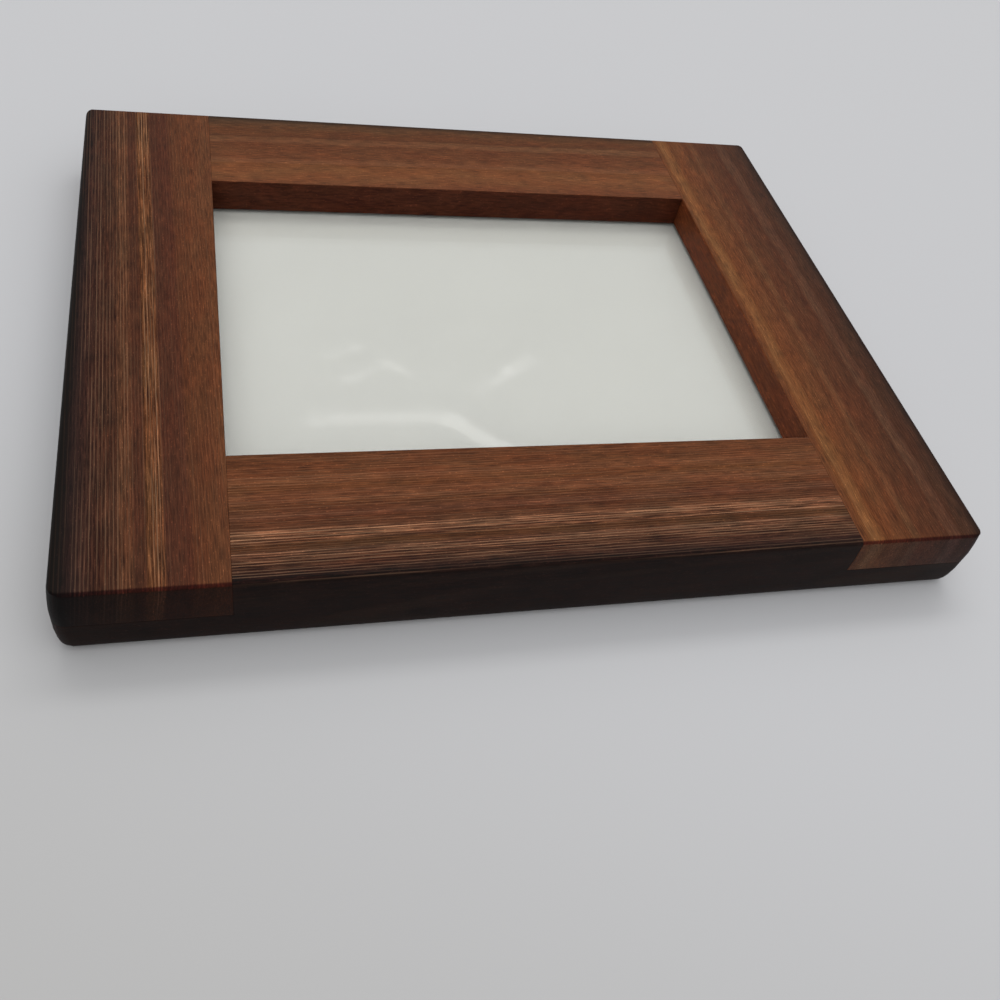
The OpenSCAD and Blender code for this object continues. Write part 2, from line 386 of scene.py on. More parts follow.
turns = math_node(grain, "DIVIDE", ring, given["Pitch"])
turns = math_node(grain, "MULTIPLY_ADD", uneven, 0.9, turns)
year = math_node(grain, "SINE", math_node(grain, "MULTIPLY", turns, math.tau))
shown = step(grain, noise(grain, stretched(grain, rings, 14, 900, 16), 3.0), 0.36, 0.60)
lines = math_node(grain, "MULTIPLY", step(grain, year, 0.2, 1.0), shown)
hairlines = step(grain, noise(grain, stretched(grain, rings, 60, 2700, 80), 2.0), 0.42, 0.66)
fibres = noise(grain, stretched(grain, rings, 220, 3600, 1500), 4.0)
flecks = step(grain, noise(grain, stretched(grain, rings, 1100, 2600, 1800), 1.0), 0.62, 0.74)
mottle = noise(grain, stretched(grain, rings, 110, 330, 200), 5.0)
blush = step(grain, noise(grain, stretched(grain, rings, 50, 160, 80), 3.0), 0.35, 0.65)
for label, value in (("Across", ring), ("Lines", lines), ("Hairlines", hairlines),
                     ("Fibres", fibres), ("Flecks", flecks), ("Mottle", mottle),
                     ("Blush", blush)):
    grain.links.new(value, out.inputs[label])

# What the oil makes of the grain: pale lines, darker outer edge, dull pores and darker end grain,
# with the painted light and shade of the narrow faces and end grain laid on.
pale_line = (0.20, 0.118, 0.068)
darkest = (0.006, 0.004, 0.003)
redder = (1.04, 0.97, 0.93, 1)
greyer = (0.97, 1.02, 1.01, 1)

oil, given, out = new_group(
    "dark_oil",
    [("Colour", "Color", (0.1, 0.05, 0.03, 1)), ("Strength", "Float", 0.5),
     ("Lines", "Float", 0.5), ("Hairlines", "Float", 0.5), ("Fibres", "Float", 0.5),
     ("Flecks", "Float", 0.0), ("Mottle", "Float", 0.5), ("Blush", "Float", 0.5),
     ("Edge", "Float", 0.0), ("Oil and painted shade", "Vector", (1.0, 1.0, 1.0))],
    [("Colour", "Color"), ("Roughness", "Float"), ("Height", "Float")])


def swing(value, middle, amount):
    """A factor that swings about 1 as the value swings about its middle."""
    base = math_node(oil, "MULTIPLY_ADD", amount, -middle, 1.0)
    return math_node(oil, "MULTIPLY_ADD", value, amount, base)


level = swing(given["Hairlines"], 0.38, math_node(oil, "MULTIPLY", given["Strength"], 1.2))
for label, middle, amount in (("Fibres", 0.5, 2.2), ("Mottle", 0.5, 0.9),
                              ("Flecks", 0.1, 0.7), ("Edge", 0.0, -0.6)):
    level = math_node(oil, "MULTIPLY", level, swing(given[label], middle, amount))
toned = combined(oil, "MULTIPLY", given["Colour"], mixed(oil, given["Blush"], redder, greyer))
toned = scaled(oil, toned, level)
pale = math_node(oil, "SUBTRACT", given["Lines"], 0.15)
pale = math_node(oil, "MULTIPLY", pale, given["Strength"])
toned = combined(oil, "ADD", toned, scaled(oil, pale_line, pale))
toned = combined(oil, "MAXIMUM", toned, darkest)
# Here the narrow faces and the end grain take their painted light and shade.
toned = combined(oil, "MULTIPLY", toned, given["Oil and painted shade"])
dull = math_node(oil, "MULTIPLY_ADD", given["Fibres"], 0.2, 0.42)
rise = math_node(oil, "MULTIPLY_ADD", given["Lines"], 0.5, given["Fibres"])
rise = math_node(oil, "MULTIPLY_ADD", given["Flecks"], -0.6, rise)
oil.links.new(toned, out.inputs["Colour"])
oil.links.new(dull, out.inputs["Roughness"])
oil.links.new(rise, out.inputs["Height"])


def wood(name, turn, edge_y, bands, outer, drift, lean, wander, waves, pitch, wall_painted_light_and_shade, end_oil_and_painted_light):
    """A member's wood, its grain along X or turned by 90 degrees. Bands run across it from its
    left or lower edge: each is a distance in mm, a colour, and how strongly the pale lines show
    there. Outer is the outer edge's place. The rings lie a pitch apart, drift across the board
    along its length, lean into its depth, and wander in long bows and short waves. The wall
    values multiply the colour of its narrow faces: painted shade where they are below 1, though
    on the outer faces part of that darkness is the oil's own, and painted light where above 1.
    The end values multiply the colour of its end grain, which is darker under the oil, with
    painted light and shade mixed in. Where a rounded edge starts to turn towards the end grain,
    it is darker."""
    finish, tree = finish_named(name)
    place = node(tree, "TexCoord")
    board = node(tree, "Mapping", {
        "Vector": place.outputs["Object"], "Location": (0, edge_y, -face_z),
        "Rotation": (0, 0, math.radians(turn))}).outputs[0]
    figure = node(tree, "Group", {"Vector": board, "Drift": drift, "Lean": lean, "Wander": wander,
                                  "Waves": waves, "Pitch": pitch}, node_tree=grain).outputs
    ramp = node(tree, "ValToRGB", {0: math_node(tree, "DIVIDE", figure["Across"], member_wide)})
    stops = ramp.color_ramp.elements
    for count, (distance, colour, strength) in enumerate(bands):
        stop = stops[count] if count < 2 else stops.new(1.0)
        stop.position = distance * mm / member_wide
        stop.color = (*paint(*colour)[:3], strength)
    straight = node(tree, "SeparateXYZ", {0: board}).outputs["Y"]
    inward = math_node(tree, "ABSOLUTE", math_node(tree, "SUBTRACT", straight, outer * mm))
    edge = math_node(tree, "SUBTRACT", 1.0, step(tree, inward, 0.6 * mm, 4 * mm))
    facing = node(tree, "Mapping", {"Vector": place.outputs["Normal"],
                                    "Rotation": (0, 0, math.radians(turn))}).outputs[0]
    facing = node(tree, "SeparateXYZ", {0: facing}).outputs
    endways = math_node(tree, "ABSOLUTE", facing["X"])
    rim = math_node(tree, "MULTIPLY", step(tree, endways, 0.25, 0.6), 0.9)
    end = step(tree, endways, 0.85, 0.98)
    wall = step(tree, math_node(tree, "ABSOLUTE", facing["Y"]), 0.6, 0.95)
    # Painted light and shade on the narrow faces, by which way they face.
    oil_and_painted_shade = mixed(tree, wall, (1, 1, 1, 1), (*wall_painted_light_and_shade, 1))
    oil_and_painted_shade = mixed(tree, rim, oil_and_painted_shade, (0.3, 0.09, 0.14, 1))
    # The end grain: darker under the oil, with painted light and shade mixed into its colour.
    oil_and_painted_shade = mixed(tree, end, oil_and_painted_shade, (*end_oil_and_painted_light, 1))
    plainer = math_node(tree, "SUBTRACT", 1.0, math_node(tree, "MULTIPLY", wall, 0.8))
    plainer_end = math_node(tree, "MULTIPLY_ADD", end, -0.5, 1.0)
    plainer = math_node(tree, "MULTIPLY", plainer, plainer_end)
    oiled = node(tree, "Group", {
        "Colour": ramp.outputs["Color"],
        "Strength": math_node(tree, "MULTIPLY", ramp.outputs["Alpha"], plainer),
        "Lines": figure["Lines"], "Hairlines": figure["Hairlines"], "Fibres": figure["Fibres"],
        "Flecks": figure["Flecks"], "Mottle": figure["Mottle"], "Blush": figure["Blush"],
        "Edge": edge, "Oil and painted shade": oil_and_painted_shade,
    }, node_tree=oil).outputs
    bump = node(tree, "Bump", {"Height": oiled["Height"], "Strength": 0.35,
                               "Distance": 0.06 * mm}).outputs[0]
    show(tree, node(tree, "BsdfPrincipled", {
        "Base Color": oiled["Colour"], "Roughness": oiled["Roughness"], "Normal": bump,
        "Specular IOR Level": 0.08}).outputs[0])
    return finish


left_wood = wood(
    "left_wood", 90, frame_x,
    [(0, (31, 20, 17), 0.05), (2.5, (49, 31, 26), 0.15), (5, (66, 41, 31), 0.4),
     (9, (73, 45, 31), 0.45), (12, (75, 45, 30), 0.35), (13, (94, 60, 40), 0.5),
     (15.5, (94, 58, 38), 0.4), (16.5, (76, 42, 27), 0.1), (18.6, (80, 45, 28), 0.2),
     (19.3, (108, 69, 43), 0.8), (22.6, (110, 70, 45), 0.8), (23.4, (78, 43, 28), 0.1),
     (28.5, (84, 45, 29), 0.1), (30, (92, 52, 31), 0.12), (34, (98, 56, 33), 0.12),
     (40, (102, 60, 36), 0.12)],
    outer=0, drift=-0.028, lean=-0.13, wander=0.5 * mm, waves=0.15 * mm, pitch=0.9 * mm,
    # Painted shade darkens the narrow faces, and the end grain's colour carries painted shade as
    # well.
    wall_painted_light_and_shade=(0.5, 0.46, 0.46), end_oil_and_painted_light=(0.18, 0.17, 0.2))

left_stile = stile("left_stile_wood", -1)
smooth(left_stile)
left_stile.data.materials.append(left_wood)
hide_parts("left_stile")
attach(left_stile, "frame")


# The right stile is the other short side, from a plainer board: an orange band runs along
# its inner edge, and the softer bands beside it wander more.
right_wood = wood(
    "right_wood", 90, -opening_x,
    [(0.5, (106, 61, 34), 0.08), (2.2, (114, 69, 37), 0.08), (2.8, (130, 84, 49), 0.1),
     (6.2, (116, 70, 38), 0.1), (6.9, (108, 62, 33), 0.04), (12.6, (106, 62, 36), 0.04),
     (13.3, (94, 54, 30), 0.04), (15.3, (98, 56, 32), 0.04), (15.8, (105, 65, 40), 0.06),
     (17.8, (99, 60, 37), 0.06), (18.4, (92, 52, 31), 0.04), (24.5, (86, 49, 30), 0.04),
     (27.3, (80, 45, 28), 0.04), (28.1, (91, 58, 40), 0.08), (31.4, (87, 54, 38), 0.08),
     (32.2, (75, 44, 28), 0.04), (38, (68, 43, 31), 0.04)],
    outer=40.5, drift=-0.005, lean=0.06, wander=1.6 * mm, waves=2 * mm, pitch=1.1 * mm,
    # Painted light brightens the narrow faces, and the end grain's colour carries painted light
    # as well.
    wall_painted_light_and_shade=(1.26, 1.0, 1.04), end_oil_and_painted_light=(0.52, 0.6, 0.9))

right_stile = stile("right_stile_wood", 1)
smooth(right_stile)
right_stile.data.materials.append(right_wood)
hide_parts("right_stile")
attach(right_stile, "frame")


# The bottom rail is one of the two long sides. It runs the whole width in the back half and
# between the stiles in the front half, and each corner is glued across the lap. Two round
# recesses in its back, bored with a wide bit, hold the turn buttons.
button_x = 55 * mm
pivot_y = 70.3 * mm
recess_r = 14 * mm
recess_z = 3.2 * mm


def rail(name, side):
    """Shapes a rail, at the bottom for side -1 and at the top for side 1."""
    piece = block(name, (-opening_x, min(side * frame_y, side * opening_y), lip_z),
                  (opening_x, max(side * frame_y, side * opening_y), face_z))
    slice_at(1, (side * rabbet_y,))
    pick_faces(lambda middle, normal: normal.z < -mostly and abs(middle.y) > rabbet_y)
    pull(z=lap_z - lip_z)
    pick_faces(lambda middle, normal: normal.z < -mostly and near(middle.z, lap_z))
    pull(z=-lap_z)
    for end in (-1, 1):
        pick_faces(lambda middle, normal: end * normal.x > mostly and middle.z < lap_z)
        pull(x=end * (rabbet_x - opening_x))
        pick_faces(lambda middle, normal: end * normal.x > mostly and middle.z < lap_z)
        pull(x=end * (frame_x - rabbet_x))
    pick_faces(lambda middle, normal: -side * normal.y > mostly and middle.z < lap_z
               and abs(middle.x) > rabbet_x)
    pull(y=side * (opening_y - rabbet_y))
    swell_sides()
    ease_member()
    return piece


def bore(piece, cutter):
    """Cuts a piece away by another, which is then thrown away."""
    apply(piece, "BOOLEAN", operation="DIFFERENCE", object=cutter, solver="EXACT")
    bpy.data.objects.remove(cutter)


def drill(piece, x, y, radius, low, high, sides=96):
    """Bores an upright round hole or recess."""
    bpy.ops.object.select_all(action="DESELECT")
    bpy.ops.mesh.primitive_cylinder_add(vertices=sides, radius=radius, depth=high - low,
                                        location=(x, y, (low + high) / 2))
    bpy.ops.object.transform_apply(location=True)
    bore(piece, bpy.context.object)


bottom_wood = wood(
    "bottom_wood", 0, frame_y,
    [(0.5, (70, 45, 36), 0.3), (3, (75, 48, 35), 0.55), (6, (86, 55, 38), 0.8),
     (9.2, (108, 73, 53), 0.8), (10, (84, 51, 30), 0.3), (11.6, (83, 50, 28), 0.3),
     (12.4, (110, 72, 50), 1), (15.6, (125, 84, 60), 1), (16.4, (96, 58, 37), 0.3),
     (18.8, (90, 51, 30), 0.25), (20, (102, 61, 41), 0.3), (23.6, (96, 55, 31), 0.25),
     (25, (114, 69, 44), 0.3), (27.5, (110, 66, 41), 0.25), (29, (104, 61, 34), 0.25),
     (32.5, (116, 70, 44), 0.3), (35, (102, 59, 34), 0.25), (40, (102, 59, 35), 0.25)],
    outer=0, drift=-0.010, lean=0.06, wander=0.7 * mm, waves=0.3 * mm, pitch=0.85 * mm,
    # Painted shade darkens the narrow faces, and the end grain's colour carries painted light and
    # shade as well.
    wall_painted_light_and_shade=(0.42, 0.4, 0.42), end_oil_and_painted_light=(0.3, 0.27, 0.3))

bottom_rail = rail("bottom_rail_wood", -1)
for side_x in (-1, 1):
    drill(bottom_rail, side_x * button_x, -pivot_y, recess_r, -mm, recess_z)
smooth(bottom_rail)
bottom_rail.data.materials.append(bottom_wood)
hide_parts("bottom_rail")
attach(bottom_rail, "frame")


# The top rail matches the bottom one, from a redder and plainer board. A shallow mortise in
# its back takes the sawtooth hanger, with room below it for the head of the wall's nail.
mortise_x = 24 * mm
mortise_low = 73.7 * mm
mortise_high = 91.7 * mm
mortise_z = 2.2 * mm

top_wood = wood(
    "top_wood", 0, -opening_y,
    [(0, (108, 62, 38), 0.05), (4, (116, 70, 42), 0.05), (9, (121, 74, 44), 0.05),
     (13, (112, 67, 38), 0.05), (13.8, (119, 74, 47), 0.08), (15.6, (115, 70, 44), 0.08),
     (16.8, (106, 62, 37), 0.05), (24, (101, 58, 34), 0.05), (25.4, (100, 58, 34), 0.05),
     (26.2, (111, 70, 45), 0.1), (29, (108, 69, 44), 0.1), (29.8, (92, 54, 32), 0.05),
     (32, (98, 57, 33), 0.05), (36, (92, 59, 36), 0.05), (40, (86, 59, 40), 0.05)],
    outer=40.5, drift=-0.023, lean=0.06, wander=1.4 * mm, waves=1.6 * mm, pitch=1.1 * mm,
    # Painted shade darkens the narrow faces, and the end grain's colour carries painted light and
    # shade as well.
    wall_painted_light_and_shade=(0.4, 0.31, 0.33), end_oil_and_painted_light=(0.5, 0.5, 0.5))

top_rail = rail("top_rail_wood", 1)
for side_x in (-1, 1):
    drill(top_rail, side_x * button_x, pivot_y, recess_r, -mm, recess_z)
mortise = block("mortise_cutter", (-mortise_x, mortise_low, -mm),
                (mortise_x, mortise_high, mortise_z))
bpy.ops.object.mode_set(mode="OBJECT")
bore(top_rail, mortise)
smooth(top_rail)
top_rail.data.materials.append(top_wood)
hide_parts("top_rail")
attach(top_rail, "frame")


# The clear film lies loose on the glazing, as it came in the packet. It is a soft plastic
# sheet with a few creases, which lift off the glazing and catch the light.
film_z = 12.82 * mm
film_thick = 0.15 * mm
sheet_x = 88.9 * mm
sheet_y = 63.5 * mm
crease_half_wide = 0.55

bpy.ops.object.select_all(action="DESELECT")
bpy.ops.mesh.primitive_grid_add(x_subdivisions=round(2 * sheet_x / mm),
                                y_subdivisions=round(2 * sheet_y / mm), size=1,
                                location=(0, 0, film_z))
film = bpy.context.object
film.name = "clear_film_sheet"
film.data.name = "clear_film_sheet"
film.scale = (2 * sheet_x, 2 * sheet_y, 1)
bpy.ops.object.transform_apply(location=True, scale=True)
bpy.ops.object.mode_set(mode="EDIT")


def crease(points, height, reach):
    """Lifts the film along a line of points, in mm, fading out over reach on both sides."""
    bpy.ops.mesh.select_mode(type="VERT")
    bpy.ops.mesh.select_all(action="DESELECT")
    mesh = bmesh.from_edit_mesh(bpy.context.object.data)
    for corner in mesh.verts:
        x = corner.co.x / mm
        y = corner.co.y / mm
        for (x1, y1), (x2, y2) in zip(points, points[1:]):
            square = (x2 - x1) ** 2 + (y2 - y1) ** 2
            share = max(0, min(1, ((x - x1) * (x2 - x1) + (y - y1) * (y2 - y1)) / square))
            nearest = (x1 + share * (x2 - x1), y1 + share * (y2 - y1))
            if math.dist((x, y), nearest) < crease_half_wide:
                corner.select_set(True)
    bmesh.update_edit_mesh(bpy.context.object.data)
    bpy.ops.transform.translate(
        value=(0, 0, height * mm), use_proportional_edit=True, proportional_edit_falloff="SMOOTH",
        proportional_size=reach * mm, use_proportional_connected=False,
        use_proportional_projected=False)


crease([(-60, -35), (-47, -34), (-22, -35)], 0.6, 8.5)
crease([(-17, -38), (-12, -43), (-6.5, -49)], 0.85, 7.5)
crease([(-54, -9), (-47, -6)], 0.53, 6)
crease([(-43, -5), (-36, -11), (-30, -18)], 0.4, 6)
crease([(-39, -8), (-33, -14)], 0.4, 6)
crease([(-49, -19), (-41, -15)], 0.56, 6)
crease([(-9, -24), (9, -11)], 0.46, 6.5)
crease([(-3, -20), (9, -11)], 0.28, 6.5)
crease([(2, -16), (9, -11)], 0.34, 6.5)
crease([(18, -8), (21, 8), (24, 25)], 0.15, 5)
crease([(-28, -8), (-16, 2), (-6, 5)], 0.42, 6)
bpy.ops.mesh.select_all(action="SELECT")
bpy.ops.mesh.vertices_smooth(factor=0.5, repeat=2, xaxis=False, yaxis=False, zaxis=True)
bpy.ops.object.mode_set(mode="OBJECT")
apply(film, "SOLIDIFY", thickness=film_thick, offset=1.0)
bpy.ops.object.select_all(action="DESELECT")
film.select_set(True)
bpy.ops.object.shade_smooth_by_angle(angle=math.radians(30))


def clear(name, glare, haze, roughness, tint):
    """A clear plastic: light goes straight through, and more glances off at a low angle."""
    low_glare = 22
    finish, tree = finish_named(name)
    place = node(tree, "TexCoord").outputs["Object"]
    handled = noise(tree, place, 2.0, 35.0)
    low = math_node(tree, "POWER", node(tree, "LayerWeight").outputs["Facing"], 5.0)
    amount = math_node(tree, "MULTIPLY_ADD", low, glare * low_glare, glare)
    shine = node(tree, "BsdfPrincipled", {
        "Base Color": (1, 1, 1, 1), "Metallic": 1.0,
        "Roughness": math_node(tree, "MULTIPLY_ADD", handled, roughness, roughness * 0.6)})
    through = node(tree, "BsdfTransparent", {"Color": tint})
    veil = node(tree, "BsdfDiffuse", {"Color": (0.9, 0.92, 0.9, 1)})
    veiled = node(tree, "MixShader", {0: haze, 1: through.outputs[0], 2: veil.outputs[0]})
    both = node(tree, "MixShader", {0: amount, 1: veiled.outputs[0], 2: shine.outputs[0]})
    show(tree, both.outputs[0])
    return finish


film.data.materials.append(clear("clear_film", 0.021, 0.02, 0.19, (1, 1, 1, 1)))
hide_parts("clear_film")
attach(film, "frame")


# The glazing is a 1.2 mm sheet of clear acrylic, cut to the size of the picture, with its
# edges scraped. It lies a hair above the card, so that the two don't share a face.
glazing_low = 11.62 * mm
glazing_high = 12.8 * mm
glazing = block("glazing_sheet", (-sheet_x, -sheet_y, glazing_low),
                (sheet_x, sheet_y, glazing_high))
bpy.ops.object.mode_set(mode="OBJECT")
apply(glazing, "BEVEL", limit_method="ANGLE", width=0.15 * mm, segments=2)
smooth(glazing)
glazing.data.materials.append(clear("acrylic", 0.03, 0.0, 0.02, (0.997, 1, 0.997, 1)))
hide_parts("glazing")
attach(glazing, "frame")


# The white card behind the glazing is smooth and slightly warm, with a faint cloud in it.
white_card, tree = finish_named("white_card")
place = node(tree, "TexCoord").outputs["Object"]
cloud = noise(tree, place, 3.0, 40.0)
tooth = noise(tree, place, 2.0, 2500.0)
tone = mixed(tree, cloud, paint(224, 224, 218), paint(228, 228, 222))
bump = node(tree, "Bump", {"Height": tooth, "Strength": 0.2, "Distance": 0.02 * mm}).outputs[0]
show(tree, node(tree, "BsdfPrincipled", {
    "Base Color": tone, "Roughness": 0.8, "Specular IOR Level": 0.3,
    "Normal": bump}).outputs[0])
nodes["insert_sheet"].material_slots[0].material = white_card


# The filler board is plain grey-brown pulp board, which packs the stack out to the backing.
pulp, tree = finish_named("pulp_board")
place = node(tree, "TexCoord").outputs["Object"]
specks = step(tree, noise(tree, place, 2.0, 900.0), 0.6, 0.72)
tone = mixed(tree, specks, paint(176, 158, 130), paint(132, 112, 86))
bump = node(tree, "Bump", {"Height": specks, "Strength": 0.3, "Distance": 0.05 * mm}).outputs[0]
show(tree, node(tree, "BsdfPrincipled", {
    "Base Color": tone, "Roughness": 0.9, "Normal": bump}).outputs[0])
nodes["filler_board"].material_slots[0].material = pulp


# The backing is 3 mm hardboard, sawn to size with its edges sanded. Its screen side, with
# the mark of the mesh that it was pressed on, shows at the back.
backing_low = 3.2 * mm
backing_high = 6.3 * mm
backing = block("backing_hardboard", (-sheet_x, -sheet_y, backing_low),
                (sheet_x, sheet_y, backing_high))
bpy.ops.object.mode_set(mode="OBJECT")
apply(backing, "BEVEL", limit_method="ANGLE", width=0.4 * mm, segments=2)
smooth(backing)

hardboard, tree = finish_named("hardboard")
place = node(tree, "TexCoord").outputs["Object"]
pressed = node(tree, "TexVoronoi", {
    "Vector": stretched(tree, place, 620, 760, 0), "Scale": 1.0,
    "Randomness": 0.12}).outputs["Distance"]
pressed = step(tree, pressed, 0.15, 0.6)
fibre = noise(tree, place, 4.0, 1100.0)
cloud = noise(tree, place, 3.0, 22.0)
level = math_node(tree, "MULTIPLY_ADD", pressed, -0.28, 1.0)
level = math_node(tree, "MULTIPLY_ADD", cloud, 0.3, level)
tone = scaled(tree, mixed(tree, fibre, paint(96, 66, 42), paint(142, 104, 70)), level)
rise = math_node(tree, "MULTIPLY_ADD", pressed, -1.0, fibre)
bump = node(tree, "Bump", {"Height": rise, "Strength": 0.5, "Distance": 0.12 * mm}).outputs[0]
show(tree, node(tree, "BsdfPrincipled", {
    "Base Color": tone, "Roughness": 0.82, "Normal": bump}).outputs[0])
backing.data.materials.append(hardboard)
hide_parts("backing_board")
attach(backing, "frame")


# Four turn buttons hold the backing in. Each is a flat steel tongue, stamped out and nickel
# plated, that swings on its screw in the round recess of a rail.
button_low = 1.9 * mm
button_high = 3.1 * mm
button_wide = 9.5 * mm
arm = 13.5 * mm
tail = 6 * mm
hole_r = 1.58 * mm


def copied(piece, name, x, y, turn):
    """A copy of a piece with its own mesh, turned about the origin and then moved."""
    bpy.ops.object.select_all(action="DESELECT")
    piece.select_set(True)
    bpy.context.view_layer.objects.active = piece
    bpy.ops.object.duplicate()
    made = bpy.context.object
    made.name = name
    made.data.name = name
    made.rotation_euler = (0, 0, math.radians(turn))
    made.location = (x, y, 0)
    bpy.ops.object.transform_apply(location=True, rotation=True)
    return made


pattern = block("turn_button_pattern", (-button_wide / 2, -arm, button_low),
                (button_wide / 2, tail, button_high))
bpy.ops.mesh.select_mode(type="EDGE")
bpy.ops.mesh.select_all(action="DESELECT")
mesh = bmesh.from_edit_mesh(pattern.data)
for edge in mesh.edges:
    start, end = (corner.co for corner in edge.verts)
    edge.select_set(abs((end - start).normalized().z) > mostly)
bmesh.update_edit_mesh(pattern.data)
bpy.ops.mesh.bevel(offset=button_wide / 2, segments=16, affect="EDGES", clamp_overlap=True)
bpy.ops.mesh.select_all(action="SELECT")
bpy.ops.mesh.remove_doubles(threshold=0.001 * mm)
bpy.ops.object.mode_set(mode="OBJECT")
drill(pattern, 0, 0, hole_r, 0, 5 * mm, 48)
apply(pattern, "BEVEL", limit_method="ANGLE", width=0.22 * mm, segments=3)
smooth(pattern)

# Plated steel: fine scratches one way and clouds in the plating, both in a second colour.
plating, given, out = new_group(
    "plating",
    [("Vector", "Vector", None), ("Colour", "Color", (0.6, 0.6, 0.6, 1)),
     ("Worn", "Color", (0.7, 0.7, 0.7, 1))],
    [("Colour", "Color"), ("Roughness", "Float"), ("Height", "Float")])
cloud = noise(plating, given["Vector"], 3.0, 260.0)
scratch = noise(plating, stretched(plating, given["Vector"], 350, 9000, 2000), 1.0)
scratch = step(plating, scratch, 0.6, 0.74)
mask = math_node(plating, "MULTIPLY_ADD", scratch, 0.5, step(plating, cloud, 0.45, 0.75))
tone = mixed(plating, mask, given["Colour"], given["Worn"])
dull = math_node(plating, "MULTIPLY_ADD", cloud, 0.25, 0.22)
dull = math_node(plating, "MULTIPLY_ADD", scratch, 0.15, dull)
plating.links.new(tone, out.inputs["Colour"])
plating.links.new(dull, out.inputs["Roughness"])
plating.links.new(math_node(plating, "MULTIPLY", scratch, -1.0), out.inputs["Height"])


def plated(name, colour, worn):
    """Plated steel of a colour, with a second colour where it is clouded or scratched."""
    finish, tree = finish_named(name)
    place = node(tree, "TexCoord").outputs["Object"]
    skin = node(tree, "Group", {"Vector": place, "Colour": paint(*colour), "Worn": paint(*worn)},
                node_tree=plating).outputs
    bump = node(tree, "Bump", {"Height": skin["Height"], "Strength": 0.2,
                               "Distance": 0.01 * mm}).outputs[0]
    show(tree, node(tree, "BsdfPrincipled", {
        "Base Color": skin["Colour"], "Roughness": skin["Roughness"], "Metallic": 1.0,
        "Normal": bump}).outputs[0])
    return finish


pattern.data.materials.append(plated("nickel_plate", (196, 198, 202), (158, 160, 166)))
corners = {"top_left": (-1, 1), "top_right": (1, 1),
           "bottom_left": (-1, -1), "bottom_right": (1, -1)}
for corner, (side_x, side_y) in corners.items():
    button = copied(pattern, "turn_button_" + corner + "_steel",
                    side_x * button_x, side_y * pivot_y, 0 if side_y > 0 else 180)
    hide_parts("turn_button_" + corner)
    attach(button, "button_" + corner)
bpy.data.objects.remove(pattern)


# The screws that the buttons swing on are pan heads with a cross recess, turned from steel
# wire, zinc plated and driven into the rails' own wood, where the thread holds. Their radii
# and heights are in mm.
screw_r = 1.5
screw_root_r = 1.15
screw_point_r = 0.15
screw_tip = 14.2
screw_plain_from = 3.2
thread_count = 8
thread_pitch = 1.3
screw_head_r = 3.0
screw_head_low = 1.8
screw_head_top = 0.2
cross_long = 3.3 * mm
cross_wide = 0.7 * mm
cross_deep = 1.16 * mm
cross_turn = 20


def turned(name, rings, sides=48):
    """Turns a round piece on the Z axis from its rings, each a radius and a height in mm."""
    bpy.ops.object.select_all(action="DESELECT")
    radius, height = rings[0]
    bpy.ops.mesh.primitive_circle_add(vertices=sides, radius=radius * mm, fill_type="NGON",
                                      location=(0, 0, height * mm))
    piece = bpy.context.object
    piece.name = name
    piece.data.name = name
    bpy.ops.object.transform_apply(location=True)
    bpy.ops.object.mode_set(mode="EDIT")
    for wider, lower in rings[1:]:
        pull(z=(lower - height) * mm)
        share = wider / radius
        bpy.ops.transform.resize(value=(share, share, 1), center_override=(0, 0, lower * mm))
        radius, height = wider, lower
    bpy.ops.mesh.select_all(action="SELECT")
    bpy.ops.mesh.remove_doubles(threshold=0.0001 * mm)
    bpy.ops.mesh.normals_make_consistent(inside=False)
    bpy.ops.object.mode_set(mode="OBJECT")
    return piece


def dome(radius, low, high, steps):
    """Rings of a pan head from its underside, at low, to the top of its dome, at high."""
    rise = abs(high - low)
    ball = (radius ** 2 + rise ** 2) / (2 * rise) + rise / 2
    edge = math.sqrt(ball ** 2 - radius ** 2)
    rings = [(radius, low), (radius, low + (high - low) * (rise - ball + edge) / rise)]
    for count in range(1, steps + 1):
        across = radius * math.cos(math.radians(90) * count / steps) + 0.02
        up = rise - ball + math.sqrt(ball ** 2 - across ** 2)
        rings.append((across, low + (high - low) * up / rise))
    return rings


screw_rings = [(screw_point_r, screw_tip)]
for count in range(1, thread_count + 1):
    level = screw_tip - thread_pitch * count
    screw_rings += [(screw_r, level), (screw_root_r, level)]
screw_rings += [(screw_r, screw_plain_from), (screw_r, screw_head_low)]
screw_rings += dome(screw_head_r, screw_head_low, screw_head_top, 7)
screw = turned("screw_pattern", screw_rings)
for turn in (cross_turn, cross_turn + 90):
    blade = block("blade_cutter", (-cross_long / 2, -cross_wide / 2, -mm),
                  (cross_long / 2, cross_wide / 2, cross_deep))
    bpy.ops.object.mode_set(mode="OBJECT")
    blade.rotation_euler = (0, 0, math.radians(turn))
    bpy.ops.object.transform_apply(rotation=True)
    bore(screw, blade)
apply(screw, "BEVEL", limit_method="ANGLE", width=0.06 * mm, segments=2,
      angle_limit=math.radians(50))
smooth(screw)
zinc_plate = plated("zinc_plate", (186, 188, 190), (140, 140, 142))
screw.data.materials.append(zinc_plate)
for corner, (side_x, side_y) in corners.items():
    driven = copied(screw, "screw_" + corner, side_x * button_x, side_y * pivot_y, 0)
    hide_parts("button_screws")
    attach(driven, "frame")
bpy.data.objects.remove(screw)


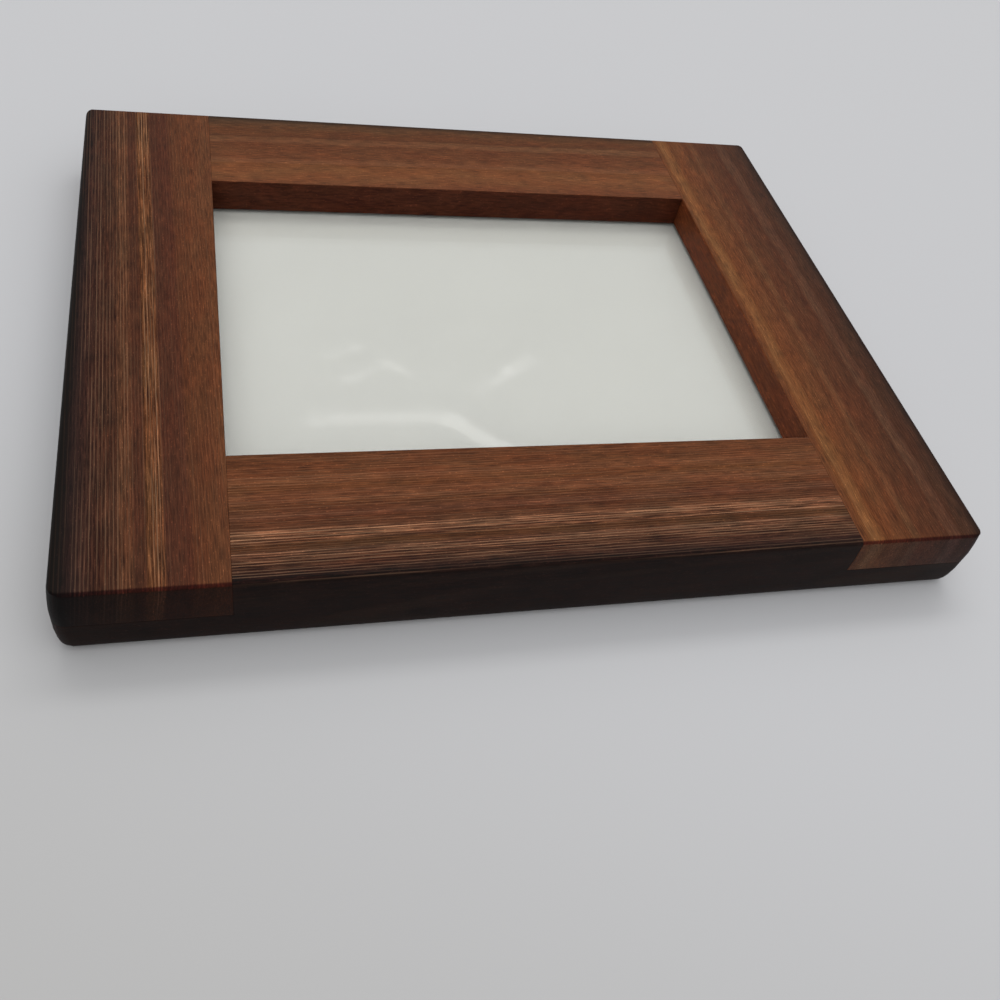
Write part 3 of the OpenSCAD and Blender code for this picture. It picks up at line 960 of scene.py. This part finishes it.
# The sawtooth hanger is a strip of brassed steel, stepped so that its toothed middle stands
# off the floor of the mortise and the wall's nail can go behind it.
hanger_low = 82.7 * mm
hanger_high = 90.7 * mm
hanger_x = 23 * mm
foot_x = 16 * mm
raised_x = 13.6 * mm
strip = 0.8 * mm
lift = 1.2 * mm
tooth_count = 9
tooth_pitch = 2 * raised_x / tooth_count
notch_wide = tooth_pitch - 0.4 * mm
notch_deep = 1.6 * mm

hanger = block("sawtooth_strip", (-hanger_x, hanger_low, mortise_z - strip),
               (hanger_x, hanger_high, mortise_z))
slice_at(0, (-foot_x, -raised_x, raised_x, foot_x))
notches = [(count - (tooth_count - 1) / 2) * tooth_pitch for count in range(tooth_count)]
for middle_x in notches:
    slice_at(0, (middle_x - notch_wide / 2, middle_x, middle_x + notch_wide / 2))
bpy.ops.mesh.select_mode(type="VERT")
bpy.ops.mesh.select_all(action="DESELECT")
mesh = bmesh.from_edit_mesh(hanger.data)
for corner in mesh.verts:
    corner.select_set(abs(corner.co.x) < raised_x + hair)
bmesh.update_edit_mesh(hanger.data)
bpy.ops.transform.translate(value=(0, 0, -lift))
bpy.ops.mesh.select_all(action="DESELECT")
mesh = bmesh.from_edit_mesh(hanger.data)
for corner in mesh.verts:
    corner.select_set(near(corner.co.y, hanger_low)
                      and any(near(corner.co.x, middle_x) for middle_x in notches))
bmesh.update_edit_mesh(hanger.data)
bpy.ops.transform.translate(value=(0, notch_deep, 0))
bpy.ops.object.mode_set(mode="OBJECT")
apply(hanger, "BEVEL", limit_method="ANGLE", width=0.1 * mm, segments=2,
      angle_limit=math.radians(40))
smooth(hanger)
hanger.data.materials.append(plated("brassed_steel", (206, 176, 112), (170, 138, 84)))
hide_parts("sawtooth_hanger")
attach(hanger, "frame")


# Two round-headed pins of the screws' plated steel, driven through the hanger's feet, hold
# it to the top rail. Their heads lie below the plane of the back.
pin_x = 19.5 * mm
pin_y = 86.7 * mm
pin_head_low = 1.4
pin_rings = [(0.1, 10.4), (0.6, 9.2), (0.6, pin_head_low)]

pin = turned("pin_pattern", pin_rings + dome(1.6, pin_head_low, 0.7, 6))
smooth(pin)
pin.data.materials.append(zinc_plate)
for name, x in (("hanger_pin_left", -pin_x), ("hanger_pin_right", pin_x)):
    driven = copied(pin, name, x, pin_y, 0)
    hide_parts("hanger_pins")
    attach(driven, "frame")
bpy.data.objects.remove(pin)
